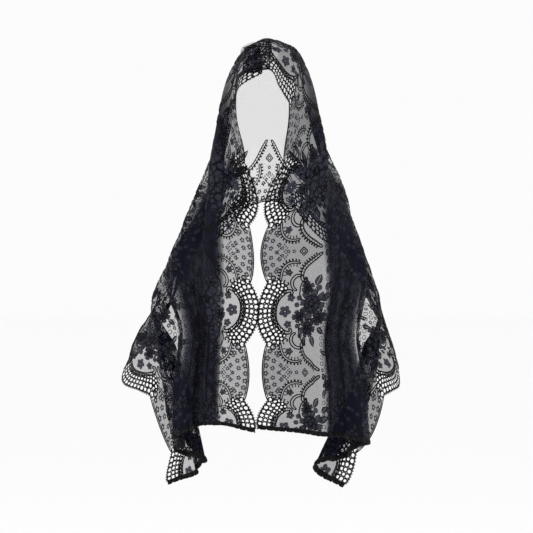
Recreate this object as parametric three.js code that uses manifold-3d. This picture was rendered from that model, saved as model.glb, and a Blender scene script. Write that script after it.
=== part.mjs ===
// A lace mantilla veil in its worn form: one long galloon of black lace, laid over the crown of a head
// with a tuck at the top, framing the face, falling down both sides of the chest and round the elbows.
// Millimetres, +Z up. The origin is where the crown of the head carries the veil, and the face looks
// along -Y. Left and right are those of someone who looks at the veil from the front: left is -X.
import * as THREE from "three";
import { mergeVertices } from "three/addons/utils/BufferGeometryUtils.js";
import Module from "manifold-3d";

// The cloth as it lies flat: u runs along it from the middle, v across it from the front edge's base
// line (0) to the back edge's base line (VEIL_WIDTH).
const VEIL_LENGTH = 1770;
const VEIL_WIDTH = 500;
const CLOTH_THICKNESS = 1.2;
const PIECE_GAP = 1.1;

// The scalloped edgings. Deep scallops of coarse net take turns with shallow ones of fine lace.
const SCALLOP_PITCH = 250;
const NET_SCALLOP_WIDTH = 124;
const NET_SCALLOP_DEPTH = 22;
const FINE_SCALLOP_DEPTH = 12;
// How full each outline is: 1 is a sine, and less is rounder.
const NET_SCALLOP_FULLNESS = 0.8;
const FINE_SCALLOP_FULLNESS = 0.7;
const EDGING_DEPTH = 32;
const EDGING_ROWS = 2;
const EDGE_STEPS = 3;
const NET_HOLE_RADIUS = 5.4;
const NET_HOLE_SIDES = 6;
const NET_HOLE_SPACING = 15;
// How far each cut reaches past either face of the cloth.
const NET_CUT_REACH = 3;
// Rows of holes: how many, and how far in from the base line.
const NET_ROWS = [
  { holes: 3, inward: -7 },
  { holes: 4, inward: 8 },
];

// The trim sewn along the two short ends.
const HEM_DEPTH = 9;
const HEM_THICKNESS = 2.2;
const HEM_WAVE = 24;
const HEM_WAVE_DEPTH = 1.5;

// The tuck that takes up cloth at the top of the head: pleats that lie over to the left and run out
// towards the back. TUCK_GATHER is the share of the cloth that they hide at the front edge.
const TUCK_CLOTH = 200;
const TUCK_PLEATS = 2;
const TUCK_GATHER = 0.82;
const TUCK_RUN = 300;
const TUCK_LEAN = 79;

// The folds: one takes FOLD_CLOTH of cloth, and FOLD_EASE is how softly the gathers start and stop.
const FOLD_CLOTH = 122;
const FOLD_EASE = 50;
const LOOSE_SHARE = 0.1;

// The body that the veil hangs on.
const HOOD_WIDTH = 200;
const HOOD_DEPTH = 200;
const HOOD_HEIGHT = 200;
const SHOULDER_WIDTH = 400;
const CHEST_DEPTH = 300;
const FALL = VEIL_LENGTH / 2 - (TUCK_CLOTH * TUCK_GATHER) / 2 - HOOD_HEIGHT;
const FRONT_PASS = 6;

// Five lines of the cloth, from the front edge to the back edge, where it crosses each station. Each is
// [across, in depth, in height]: on the hood as shares of its width, depth and height, and below it as
// shares of the shoulders' width, the chest's depth and the fall under the hood. "at" is the station's
// share of half the length.
const HOOD_STATIONS = [
  {
    at: 0,
    lines: [
      [0, -0.48, -0.295],
      [0, -0.3, -0.11],
      [0, 0.2, -0.05],
      [0, 0.51, -0.5],
      [0, 0.625, -1.59],
    ],
  },
  {
    at: 0.075,
    lines: [
      [0.235, -0.45, -0.43],
      [0.26, -0.26, -0.185],
      [0.26, 0.19, -0.135],
      [0.24, 0.49, -0.57],
      [0.28, 0.61, -1.725],
    ],
  },
  {
    at: 0.15,
    lines: [
      [0.27, -0.42, -0.73],
      [0.375, -0.19, -0.44],
      [0.38, 0.14, -0.42],
      [0.41, 0.42, -0.75],
      [0.54, 0.575, -1.94],
    ],
  },
  {
    at: 0.25,
    lines: [
      [0.23, -0.44, -1.13],
      [0.42, -0.24, -0.9],
      [0.47, 0.08, -0.85],
      [0.515, 0.36, -1.11],
      [0.79, 0.53, -2.19],
    ],
  },
];
const BODY_STATIONS = [
  {
    at: 0.36,
    lines: [
      [0.075, -0.333, 0.19],
      [0.238, -0.3, 0.12],
      [0.285, -0.1, 0.1],
      [0.335, 0.15, 0.187],
      [0.47, 0.283, 0.508],
    ],
  },
  {
    at: 0.495,
    lines: [
      [0.055, -0.393, 0.368],
      [0.268, -0.427, 0.325],
      [0.365, -0.247, 0.275],
      [0.45, 0.067, 0.367],
      [0.575, 0.15, 0.658],
    ],
  },
  {
    at: 0.645,
    lines: [
      [0.05, -0.487, 0.558],
      [0.28, -0.5, 0.53],
      [0.455, -0.373, 0.475],
      [0.545, -0.14, 0.575],
      [0.708, 0, 0.797],
    ],
  },
  {
    at: 0.745,
    lines: [
      [0.055, -0.507, 0.686],
      [0.28, -0.513, 0.668],
      [0.475, -0.447, 0.642],
      [0.525, -0.247, 0.733],
      [0.63, -0.18, 0.838],
    ],
  },
  {
    at: 0.87,
    lines: [
      [0.06, -0.51, 0.846],
      [0.28, -0.513, 0.84],
      [0.49, -0.467, 0.833],
      [0.445, -0.193, 0.927],
      [0.555, -0.153, 1.01],
    ],
  },
  {
    at: 1,
    lines: [
      [0.055, -0.5, 0.99],
      [0.28, -0.5, 1.0],
      [0.48, -0.433, 1.022],
      [0.345, -0.16, 1.113],
      [0.46, -0.1, 1.177],
    ],
  },
];

// How far each side's lines stand wider than the tables above, as shares of the hood's width: a row for
// each line, a column for each station.
const LEFT_WIDER = [
  [0, 0.055, 0.07, 0.05, 0.065, 0.11, 0.105, 0.145, 0.145, 0.14],
  [0, -0.01, 0.02, 0.035, 0.02, 0, 0, 0, 0, 0],
  [0, -0.01, 0.005, 0.01, 0, 0, 0.03, 0, 0, 0],
  [0, 0.03, 0, -0.02, -0.06, -0.01, 0.01, 0.01, -0.02, 0],
  [0, 0, 0, 0, 0, 0.01, 0.07, 0.02, -0.07, 0.02],
];
const RIGHT_WIDER = [
  [0, -0.095, -0.06, -0.05, -0.075, -0.135, -0.105, -0.13, -0.13, -0.125],
  [0, 0, 0, 0.01, 0.03, 0.02, 0, 0, 0, 0],
  [0, 0, 0.015, 0.045, 0.05, 0.045, 0.02, 0, 0, 0],
  [0, 0, 0, 0.01, 0.01, 0.04, -0.01, -0.02, -0.06, -0.2],
  [0, 0, 0, 0, 0.02, 0.04, -0.1, -0.05, -0.12, -0.26],
];
// How much higher each line ends at the hem, as shares of the hood's height.
const LEFT_HEM_RISE = [0, 0.095, 0, -0.07, 0.02];
const RIGHT_HEM_RISE = [0, -0.03, -0.03, -0.1, 0];
// How far the front edges part in depth, so that one can pass before the other, as shares of FRONT_PASS.
const FRONT_PASS_SHARES = [0, 0, 0, 0, 0, 0.5, 1, 1, 1, 1];

// Where the cloth is gathered, as shares of its width.
const GATHERS = [
  { at: 0, leftStart: 0.3, rightStart: 0.3, end: 0.84 },
  { at: 0.15, leftStart: 0.18, rightStart: 0.19, end: 0.8 },
  { at: 0.36, leftStart: 0.12, rightStart: 0.165, end: 0.63 },
  { at: 0.495, leftStart: 0.105, rightStart: 0.165, end: 0.63 },
  { at: 0.645, leftStart: 0.09, rightStart: 0.16, end: 0.73 },
  { at: 0.745, leftStart: 0.085, rightStart: 0.165, end: 0.81 },
  { at: 0.87, leftStart: 0.085, rightStart: 0.17, end: 0.85 },
  { at: 1, leftStart: 0.09, rightStart: 0.17, end: 0.85 },
];

// How finely the drape is worked out, and how finely the pieces are cut from it.
const DRAPE_SECTIONS = 321;
const DRAPE_STEP = 2;
const DRAPE_MARGIN = 40;
// The step, as a share of half the length, over which the tuck reads the cloth's direction.
const TUCK_READ_STEP = 0.004;
const CURVE_STEPS = 160;
const TUCK_STEPS = 64;
const SIDE_COLUMNS = 16;
const TUCK_COLUMNS = 16;
const FLAT_ROWS = 2;
const FOLD_ROWS = 17;

const LACE = new THREE.MeshStandardMaterial({ color: 0x1b1c29, roughness: 0.85, side: THREE.DoubleSide });
const NET = new THREE.MeshStandardMaterial({ color: 0x1f202c, roughness: 0.8, side: THREE.DoubleSide });
const TRIM = new THREE.MeshStandardMaterial({ color: 0x0c0c12, roughness: 0.9 });

const HALF_LENGTH = VEIL_LENGTH / 2;
const clamp = THREE.MathUtils.clamp;
const lerp = THREE.MathUtils.lerp;

// 0 to 1 with level ends.
function ease(t) {
  const x = clamp(t, 0, 1);
  return x * x * (3 - 2 * x);
}

// The slope at each knot of a smooth curve through unevenly spaced values.
function slopes(knots, values) {
  const steps = knots.slice(1).map((k, i) => k - knots[i]);
  const rises = steps.map((h, i) => (values[i + 1] - values[i]) / h);
  const inner = steps.slice(1).map((h, i) => (rises[i] * h + rises[i + 1] * steps[i]) / (steps[i] + h));
  return [rises[0], ...inner, rises[rises.length - 1]];
}

// The curve through the values, at a place between the knots.
function spline(knots, values, rates, at) {
  let i = 0;
  while (i < knots.length - 2 && at > knots[i + 1]) i += 1;
  const h = knots[i + 1] - knots[i];
  const t = (at - knots[i]) / h;
  const before = values[i] * (1 + 2 * t) + rates[i] * h * t;
  const after = values[i + 1] * (3 - 2 * t) - rates[i + 1] * h * (1 - t);
  return before * (1 - t) * (1 - t) + after * t * t;
}

// A straight-line reading of a table that rises in x.
function readTable(xs, ys, x) {
  let i = 0;
  while (i < xs.length - 2 && x > xs[i + 1]) i += 1;
  return lerp(ys[i], ys[i + 1], clamp((x - xs[i]) / (xs[i + 1] - xs[i]), 0, 1));
}

// How far a curve that swings from side to side has to turn for the cloth to cover only this share.
function swing(share) {
  const s = clamp(1 - share, 0, 1);
  return 2 * Math.sqrt(s) * (1 + 0.13 * s + 0.055 * s * s);
}

// One side's stations in millimetres: for each line, its point at each station.
function sideLines(side, wider, hemRise) {
  const stations = [...HOOD_STATIONS, ...BODY_STATIONS];
  const last = stations.length - 1;
  return wider.map((widths, line) =>
    stations.map(({ lines }, k) => {
      const [across, depth, height] = lines[line];
      const hood = k < HOOD_STATIONS.length;
      const x = across * (hood ? HOOD_WIDTH : SHOULDER_WIDTH) + widths[k] * HOOD_WIDTH;
      const y = depth * (hood ? HOOD_DEPTH : CHEST_DEPTH);
      const z = hood ? height * HOOD_HEIGHT : -HOOD_HEIGHT - height * FALL;
      const pass = line === 0 ? side * FRONT_PASS * FRONT_PASS_SHARES[k] : 0;
      const rise = k === last ? hemRise[line] * HOOD_HEIGHT : 0;
      return [side * x, y + pass, z + rise];
    }),
  );
}

// The five lines as smooth curves from the left hem over the crown to the right hem.
function guideLines() {
  const shares = [...HOOD_STATIONS, ...BODY_STATIONS].map(({ at }) => at);
  const knots = [...shares.slice(1).reverse().map((at) => -at), ...shares];
  const left = sideLines(-1, LEFT_WIDER, LEFT_HEM_RISE);
  const right = sideLines(1, RIGHT_WIDER, RIGHT_HEM_RISE);
  return left.map((points, line) => {
    const all = [...points.slice(1).reverse(), ...right[line]];
    return [0, 1, 2].map((axis) => {
      const values = all.map((p) => p[axis]);
      return { knots, values, rates: slopes(knots, values) };
    });
  });
}

// The curve across the cloth at one share of its length, measured along itself.
function crossCurve(lines, share) {
  const points = lines.map((axes) => axes.map((a) => spline(a.knots, a.values, a.rates, share)));
  const knots = [0];
  for (let i = 1; i < points.length; i += 1) {
    knots.push(knots[i - 1] + Math.hypot(...points[i].map((p, axis) => p - points[i - 1][axis])));
  }
  const axes = [0, 1, 2].map((axis) => {
    const values = points.map((p) => p[axis]);
    const rates = slopes(knots, values);
    return Array.from({ length: CURVE_STEPS }, (_, k) =>
      spline(knots, values, rates, (knots[knots.length - 1] * k) / (CURVE_STEPS - 1)),
    );
  });
  const run = [0];
  for (let k = 1; k < CURVE_STEPS; k += 1) {
    run.push(run[k - 1] + Math.hypot(...axes.map((a) => a[k] - a[k - 1])));
  }
  return { axes, run };
}

// A point of the cross curve, carried on straight past either end.
function pointOnCurve({ axes, run }, at) {
  const last = run.length - 1;
  const end = run[last];
  return axes.map((a) => {
    const inside = readTable(run, a, at);
    const before = ((a[2] - a[0]) / run[2]) * Math.min(at, 0);
    const after = ((a[last] - a[last - 2]) / (end - run[last - 2])) * Math.max(at - end, 0);
    return inside + before + after;
  });
}

// The whole cloth without its tuck, worked out on an even grid: the ease of the folds, then the folds.
function drapeCloth() {
  const lines = guideLines();
  const columns = Math.round((VEIL_WIDTH + 2 * DRAPE_MARGIN) / DRAPE_STEP) + 1;
  const acrossOf = (j) => -DRAPE_MARGIN + j * DRAPE_STEP;
  const shareOf = (i) => (2 * i) / (DRAPE_SECTIONS - 1) - 1;
  const ats = GATHERS.map(({ at }) => at);
  const base = [];
  const covers = [];
  const starts = [];
  for (let i = 0; i < DRAPE_SECTIONS; i += 1) {
    const share = shareOf(i);
    const curve = crossCurve(lines, share);
    const side = share < 0 ? "leftStart" : "rightStart";
    const start = readTable(ats, GATHERS.map((g) => g[side]), Math.abs(share)) * VEIL_WIDTH;
    const end = readTable(ats, GATHERS.map((g) => g.end), Math.abs(share)) * VEIL_WIDTH;
    const weights = Array.from({ length: columns }, (_, j) => {
      const v = acrossOf(j);
      const gathered = ease((v - start) / FOLD_EASE + 0.5) * (1 - ease((v - end) / FOLD_EASE + 0.5));
      const loose = LOOSE_SHARE * ease((2 * v) / FOLD_EASE) * ease((2 * (VEIL_WIDTH - v)) / FOLD_EASE);
      return Math.max(gathered, loose);
    });
    const whole = weights.reduce((sum, w) => sum + w, 0) * DRAPE_STEP;
    const spare = VEIL_WIDTH - curve.run[curve.run.length - 1];
    const cover = weights.map((w) => 1 - (spare / whole) * w);
    const run = [-DRAPE_MARGIN];
    for (let j = 1; j < columns; j += 1) {
      run.push(run[j - 1] + ((cover[j - 1] + cover[j]) / 2) * DRAPE_STEP);
    }
    base.push(run.map((r) => pointOnCurve(curve, r)));
    covers.push(cover);
    starts.push(start);
  }
  return foldCloth(base, covers, starts, columns, acrossOf);
}

// Lays the folds on the smooth cloth: each is a swing of the cloth's direction, so no cloth is lost.
function foldCloth(base, covers, starts, columns, acrossOf) {
  const first = DRAPE_MARGIN / DRAPE_STEP;
  const last = columns - 1 - first;
  const a = new THREE.Vector3();
  const b = new THREE.Vector3();
  const along = new THREE.Vector3();
  const across = new THREE.Vector3();
  const normal = new THREE.Vector3();
  return base.map((row, i) => {
    const out = [0];
    const side = [0];
    let low = 0;
    let shift = 0;
    for (let j = 0; j < columns; j += 1) {
      const phase = (2 * Math.PI * (acrossOf(j) - starts[i])) / FOLD_CLOTH + Math.PI / 2;
      const turn = swing(covers[i][j]) * Math.sin(phase);
      low += Math.sin(turn) * DRAPE_STEP;
      shift += (Math.cos(turn) - covers[i][j]) * DRAPE_STEP;
      out[j] = low;
      side[j] = shift;
    }
    const level = (values, j) => {
      const t = clamp((j - first) / (last - first), 0, 1);
      return values[j] - lerp(values[first], values[last], t);
    };
    const before = base[Math.max(i - 1, 0)];
    const after = base[Math.min(i + 1, base.length - 1)];
    return row.map((point, j) => {
      along.subVectors(a.fromArray(after[j]), b.fromArray(before[j]));
      const j0 = Math.max(j - 1, 0);
      const j1 = Math.min(j + 1, columns - 1);
      across.subVectors(a.fromArray(row[j1]), b.fromArray(row[j0])).normalize();
      normal.crossVectors(along, across).normalize();
      return new THREE.Vector3()
        .fromArray(point)
        .addScaledVector(normal, level(out, j))
        .addScaledVector(across, level(side, j));
    });
  });
}

const cloth = drapeCloth();

// A point of the cloth without its tuck, at a share of the half length and a place across.
function clothPoint(share, v) {
  const i = clamp(((share + 1) / 2) * (DRAPE_SECTIONS - 1), 0, DRAPE_SECTIONS - 1);
  const j = clamp((v + DRAPE_MARGIN) / DRAPE_STEP, 0, cloth[0].length - 1);
  const i0 = Math.min(Math.floor(i), DRAPE_SECTIONS - 2);
  const j0 = Math.min(Math.floor(j), cloth[0].length - 2);
  const near = cloth[i0][j0].clone().lerp(cloth[i0][j0 + 1], j - j0);
  const far = cloth[i0 + 1][j0].clone().lerp(cloth[i0 + 1][j0 + 1], j - j0);
  return near.lerp(far, i - i0);
}

// The tuck's section at v: how far along and how high the cloth has come at u, and the tuck's whole width.
function tuckSection(u, v) {
  const half = TUCK_CLOTH / 2;
  const turn = swing(1 - TUCK_GATHER * (1 - ease(v / TUCK_RUN)));
  const step = TUCK_CLOTH / TUCK_STEPS;
  let along = 0;
  let height = 0;
  let width = 0;
  for (let k = 0; k < TUCK_STEPS; k += 1) {
    const angle = turn * Math.sin((2 * Math.PI * TUCK_PLEATS * (k + 0.5)) / TUCK_STEPS);
    const passed = clamp((u + half) / step - k, 0, 1) * step;
    along += Math.cos(angle) * passed;
    height += Math.sin(angle) * passed;
    width += Math.cos(angle) * step;
  }
  return { along: along - width / 2, height, width };
}

// Where the point (u, v) of the flat cloth lies on the worn veil.
function worn(u, v) {
  const half = TUCK_CLOTH / 2;
  const { along, height, width } = tuckSection(clamp(u, -half, half), v);
  const reach = HALF_LENGTH - half + width / 2;
  const share = (along + (Math.abs(u) > half ? Math.sign(u) * (Math.abs(u) - half) : 0)) / reach;
  if (Math.abs(u) >= half) return clothPoint(share, v);
  const lean = THREE.MathUtils.degToRad(TUCK_LEAN);
  const laid = share - (height * Math.sin(lean)) / reach;
  const along3 = clothPoint(laid + TUCK_READ_STEP, v).sub(clothPoint(laid - TUCK_READ_STEP, v));
  const across3 = clothPoint(laid, v + DRAPE_STEP).sub(clothPoint(laid, v - DRAPE_STEP));
  const normal = new THREE.Vector3().crossVectors(along3, across3).normalize();
  return clothPoint(laid, v).addScaledVector(normal, height * Math.cos(lean));
}

// The cloth's own directions at (u, v): along it, across it, and the way its outer face looks.
function wornFrame(u, v) {
  const along = worn(u + 1, v).sub(worn(u - 1, v)).normalize();
  const across = worn(u, v + 1).sub(worn(u, v - 1)).normalize();
  const normal = new THREE.Vector3().crossVectors(along, across).normalize();
  return { along, across, normal };
}

// How far the scalloped edge stands out from its base line at u.
function scallop(u) {
  const period = THREE.MathUtils.euclideanModulo(u, SCALLOP_PITCH);
  const netStart = (SCALLOP_PITCH - NET_SCALLOP_WIDTH) / 2;
  const inNet = (period - netStart) / NET_SCALLOP_WIDTH;
  if (inNet > 0 && inNet < 1) return NET_SCALLOP_DEPTH * Math.sin(Math.PI * inNet) ** NET_SCALLOP_FULLNESS;
  const fineWidth = SCALLOP_PITCH - NET_SCALLOP_WIDTH;
  const inFine = THREE.MathUtils.euclideanModulo(period + fineWidth / 2, SCALLOP_PITCH) / fineWidth;
  return FINE_SCALLOP_DEPTH * Math.sin(Math.PI * inFine) ** FINE_SCALLOP_FULLNESS;
}

// Numbers in a point's outer and inner copy.
const POINT_PAIR = 6;

// Makes one closed skin from rows of flat points. Each is [u, v], and at a seam also how far the piece
// stops short of it along and across the cloth. A row may be finer than the next by a whole number of
// steps.
function sheetSolid(rows, thickness) {
  const positions = [];
  const index = [];
  const starts = [];
  rows.forEach((row) => {
    starts.push(positions.length / POINT_PAIR);
    row.forEach(([u, v, alongShift = 0, acrossShift = 0]) => {
      const { along, across, normal } = wornFrame(u, v);
      const middle = worn(u, v).addScaledVector(along, alongShift).addScaledVector(across, acrossShift);
      positions.push(...middle.clone().addScaledVector(normal, thickness / 2).toArray());
      positions.push(...middle.addScaledVector(normal, -thickness / 2).toArray());
    });
  });
  const outer = (r, k) => 2 * (starts[r] + k);
  const inner = (r, k) => outer(r, k) + 1;
  const face = (a, b, c) => {
    index.push(outer(...a), outer(...b), outer(...c));
    index.push(inner(...a), inner(...c), inner(...b));
  };
  const wall = (a, b) => {
    index.push(outer(...b), outer(...a), inner(...a));
    index.push(outer(...b), inner(...a), inner(...b));
  };
  for (let r = 0; r + 1 < rows.length; r += 1) {
    const near = rows[r].length - 1;
    const far = rows[r + 1].length - 1;
    const cells = Math.min(near, far);
    const nearSteps = near / cells;
    const farSteps = far / cells;
    for (let c = 0; c < cells; c += 1) {
      const n0 = c * nearSteps;
      const f0 = c * farSteps;
      const nearTurn = Math.ceil(nearSteps / 2);
      for (let k = 0; k < nearTurn; k += 1) face([r, n0 + k], [r, n0 + k + 1], [r + 1, f0]);
      for (let k = 0; k < farSteps; k += 1) {
        face([r, n0 + nearTurn], [r + 1, f0 + k + 1], [r + 1, f0 + k]);
      }
      for (let k = nearTurn; k < nearSteps; k += 1) {
        face([r, n0 + k], [r, n0 + k + 1], [r + 1, f0 + farSteps]);
      }
    }
    wall([r + 1, 0], [r, 0]);
    wall([r, near], [r + 1, far]);
  }
  const last = rows.length - 1;
  for (let k = 0; k + 1 < rows[0].length; k += 1) wall([0, k], [0, k + 1]);
  for (let k = 0; k + 1 < rows[last].length; k += 1) wall([last, k + 1], [last, k]);
  const geometry = new THREE.BufferGeometry();
  geometry.setAttribute("position", new THREE.Float32BufferAttribute(positions, 3));
  geometry.setIndex(index);
  return geometry;
}

// The stations along the cloth where the pieces have their points, closer together in the tuck.
function alongStations(end) {
  const half = TUCK_CLOTH / 2;
  const left = Array.from({ length: SIDE_COLUMNS }, (_, k) => lerp(-end, -half, k / SIDE_COLUMNS));
  const tuck = Array.from({ length: TUCK_COLUMNS }, (_, k) => lerp(-half, half, k / TUCK_COLUMNS));
  return [...left, ...tuck, half, ...left.map((u) => -u).reverse()];
}

const manifold = await Module();
manifold.setup();

// A closed mesh as a solid that can be cut.
function solidOf(geometry) {
  const bare = geometry.clone();
  bare.deleteAttribute("normal");
  bare.deleteAttribute("uv");
  const merged = mergeVertices(bare, 1e-3);
  return new manifold.Manifold(
    new manifold.Mesh({
      numProp: 3,
      vertProperties: new Float32Array(merged.attributes.position.array),
      triVerts: new Uint32Array(merged.index.array),
    }),
  );
}

// A cut solid as a mesh again.
function geometryOf(solid) {
  const mesh = solid.getMesh();
  const geometry = new THREE.BufferGeometry();
  geometry.setAttribute("position", new THREE.Float32BufferAttribute(mesh.vertProperties, 3));
  geometry.setIndex(Array.from(mesh.triVerts));
  return geometry;
}

// The coarse net's holes in one edging. "flip" turns the edging over to the back edge.
function netHoles(flip, end) {
  const holes = [];
  const firstPitch = Math.ceil((-end - SCALLOP_PITCH / 2) / SCALLOP_PITCH);
  for (let n = firstPitch; n * SCALLOP_PITCH + SCALLOP_PITCH / 2 < end; n += 1) {
    const centre = (n + 0.5) * SCALLOP_PITCH;
    NET_ROWS.forEach(({ holes: count, inward }) => {
      for (let k = 0; k < count; k += 1) {
        const u = centre + (k - (count - 1) / 2) * NET_HOLE_SPACING;
        if (Math.abs(u) + 2 * NET_HOLE_RADIUS > end) continue;
        const v = flip ? VEIL_WIDTH - inward : inward;
        const cutter = new THREE.CylinderGeometry(
          NET_HOLE_RADIUS,
          NET_HOLE_RADIUS,
          CLOTH_THICKNESS + 2 * NET_CUT_REACH,
          NET_HOLE_SIDES,
        );
        const turn = new THREE.Quaternion();
        turn.setFromUnitVectors(new THREE.Vector3(0, 1, 0), wornFrame(u, v).normal);
        cutter.applyQuaternion(turn).translate(...worn(u, v).toArray());
        holes.push(cutter);
      }
    });
  }
  return holes;
}

// Where an edging's rows of points lie, inward from its base line.
function edgingPlaces() {
  return Array.from({ length: EDGING_ROWS }, (_, k) => (EDGING_DEPTH * (k + 1)) / EDGING_ROWS);
}

// Where the panel's rows of points lie, closer together in the folds.
function panelPlaces() {
  const foldStart = GATHERS[2].leftStart * VEIL_WIDTH - FOLD_EASE / 4;
  const back = VEIL_WIDTH - EDGING_DEPTH;
  const flat = Array.from({ length: FLAT_ROWS }, (_, k) => lerp(EDGING_DEPTH, foldStart, k / FLAT_ROWS));
  const folds = Array.from({ length: FOLD_ROWS + 1 }, (_, k) => lerp(foldStart, back, k / FOLD_ROWS));
  return [...flat, ...folds];
}

// A lengthwise row of points that stops short of the hem trims.
function lengthwise(stations, placeAt, acrossShift = 0) {
  const last = stations.length - 1;
  const short = (k) => (k === 0 ? PIECE_GAP / 2 : 0) - (k === last ? PIECE_GAP / 2 : 0);
  return stations.map((u, k) => [u, placeAt(u), short(k), acrossShift]);
}

// A scalloped edging with its coarse net cut through.
function edging(flip) {
  const end = HALF_LENGTH - HEM_DEPTH;
  const coarse = alongStations(end);
  const fine = coarse.slice(1).flatMap((u, k) =>
    Array.from({ length: EDGE_STEPS }, (_, s) => lerp(coarse[k], u, s / EDGE_STEPS)),
  );
  fine.push(end);
  const place = (inward) => (flip ? VEIL_WIDTH - inward : inward);
  const seamShift = flip ? PIECE_GAP / 2 : -PIECE_GAP / 2;
  const rows = [lengthwise(fine, (u) => place(-scallop(u)))];
  edgingPlaces().forEach((inward, k) =>
    rows.push(lengthwise(coarse, () => place(inward), k === EDGING_ROWS - 1 ? seamShift : 0)),
  );
  if (flip) rows.reverse();
  const whole = solidOf(sheetSolid(rows, CLOTH_THICKNESS));
  return geometryOf(netHoles(flip, end).reduce((left, hole) => left.subtract(solidOf(hole)), whole));
}

// The main panel between the two edgings.
function panel() {
  const stations = alongStations(HALF_LENGTH - HEM_DEPTH);
  const places = panelPlaces();
  const last = places.length - 1;
  const short = (k) => (k === 0 ? PIECE_GAP / 2 : 0) - (k === last ? PIECE_GAP / 2 : 0);
  return sheetSolid(places.map((v, k) => lengthwise(stations, () => v, short(k))), CLOTH_THICKNESS);
}

// The ruffled trim along one short end, a little thicker than the cloth.
function hemTrim(side) {
  const from = HALF_LENGTH - HEM_DEPTH;
  const edges = [-scallop(from), ...edgingPlaces().slice(0, -1)];
  const places = [...edges, ...panelPlaces(), ...edges.map((inward) => VEIL_WIDTH - inward).reverse()];
  const ruffle = (v) => HEM_WAVE_DEPTH * Math.sin((2 * Math.PI * v) / HEM_WAVE);
  const sewn = places.map((v) => [side * from, v, (side * PIECE_GAP) / 2]);
  const free = places.map((v) => [side * (HALF_LENGTH - HEM_WAVE_DEPTH + ruffle(v)), v]);
  if (side > 0) [sewn, free].forEach((row) => row.reverse());
  return sheetSolid([sewn, free], HEM_THICKNESS);
}

// A piece as a named mesh.
function piece(name, geometry, material) {
  const mesh = new THREE.Mesh(geometry, material);
  mesh.name = name;
  return mesh;
}

const veil = new THREE.Group();
veil.add(piece("lace_panel", panel(), LACE));
veil.add(piece("front_scallop_edging", edging(false), NET));
veil.add(piece("back_scallop_edging", edging(true), NET));
veil.add(piece("hem_trim_left", hemTrim(-1), TRIM));
veil.add(piece("hem_trim_right", hemTrim(1), TRIM));

export default veil;
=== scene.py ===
import math
import bpy
import numpy as np
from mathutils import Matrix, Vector


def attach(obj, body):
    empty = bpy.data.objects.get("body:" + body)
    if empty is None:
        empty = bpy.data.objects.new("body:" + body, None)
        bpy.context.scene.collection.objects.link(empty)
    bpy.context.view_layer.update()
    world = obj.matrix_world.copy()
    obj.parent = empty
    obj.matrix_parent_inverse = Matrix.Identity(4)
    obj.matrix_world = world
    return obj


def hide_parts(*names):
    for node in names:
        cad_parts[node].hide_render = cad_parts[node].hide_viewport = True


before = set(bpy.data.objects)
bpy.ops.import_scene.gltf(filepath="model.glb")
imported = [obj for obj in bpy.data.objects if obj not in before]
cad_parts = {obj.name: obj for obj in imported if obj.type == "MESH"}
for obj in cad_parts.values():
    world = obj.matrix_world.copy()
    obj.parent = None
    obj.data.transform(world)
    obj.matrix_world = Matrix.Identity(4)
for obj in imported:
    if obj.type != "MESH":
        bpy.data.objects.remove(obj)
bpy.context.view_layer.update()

# The tulle ground is the cloth that carries all the lace: one rectangle of fine black silk-like tulle,
# knitted by machine, with scalloped long edges. It forms a hood with a small tuck at the crown, falls down
# both sides in upright folds, and is held by its own weight alone.

# Flat cloth is (u, v) in millimetres: u runs along it from the middle, v across it from the front edge's
# base line to the back edge's. One repeat of the lace is PITCH long, with a deep scallop of coarse net and
# a shallow fine one. HEM is the width of the trims at the short ends.
LENGTH, WIDTH = 1770.0, 500.0
HALF = LENGTH / 2
HEM = 9.0
PITCH, NET_WIDTH, NET_DEPTH, FINE_DEPTH = 250.0, 124.0, 22.0, 12.0

# The tuck: the cloth in it, its pleats, the share of it that they take up, how far back they run and how
# far they lean. Then the cloth in one fold, how softly the gathers begin, and how slack it lies elsewhere.
TUCK, TUCK_PLEATS, TUCK_GATHER, TUCK_RUN, TUCK_LEAN = 200.0, 2, 0.82, 300.0, math.radians(79)
FOLD, FOLD_EASE, LOOSE = 122.0, 50.0, 0.1

# The form it is draped in: the hood, and the cape below it, where the cloth falls by FALL. The two front
# edges pass each other by twice FRONT_PASS.
HOOD_WIDTH = HOOD_DEPTH = HOOD_HEIGHT = 200.0
SHOULDER_WIDTH, CHEST_DEPTH = 400.0, 300.0
FALL = HALF - TUCK * TUCK_GATHER / 2 - HOOD_HEIGHT
FRONT_PASS = 6.0

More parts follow.
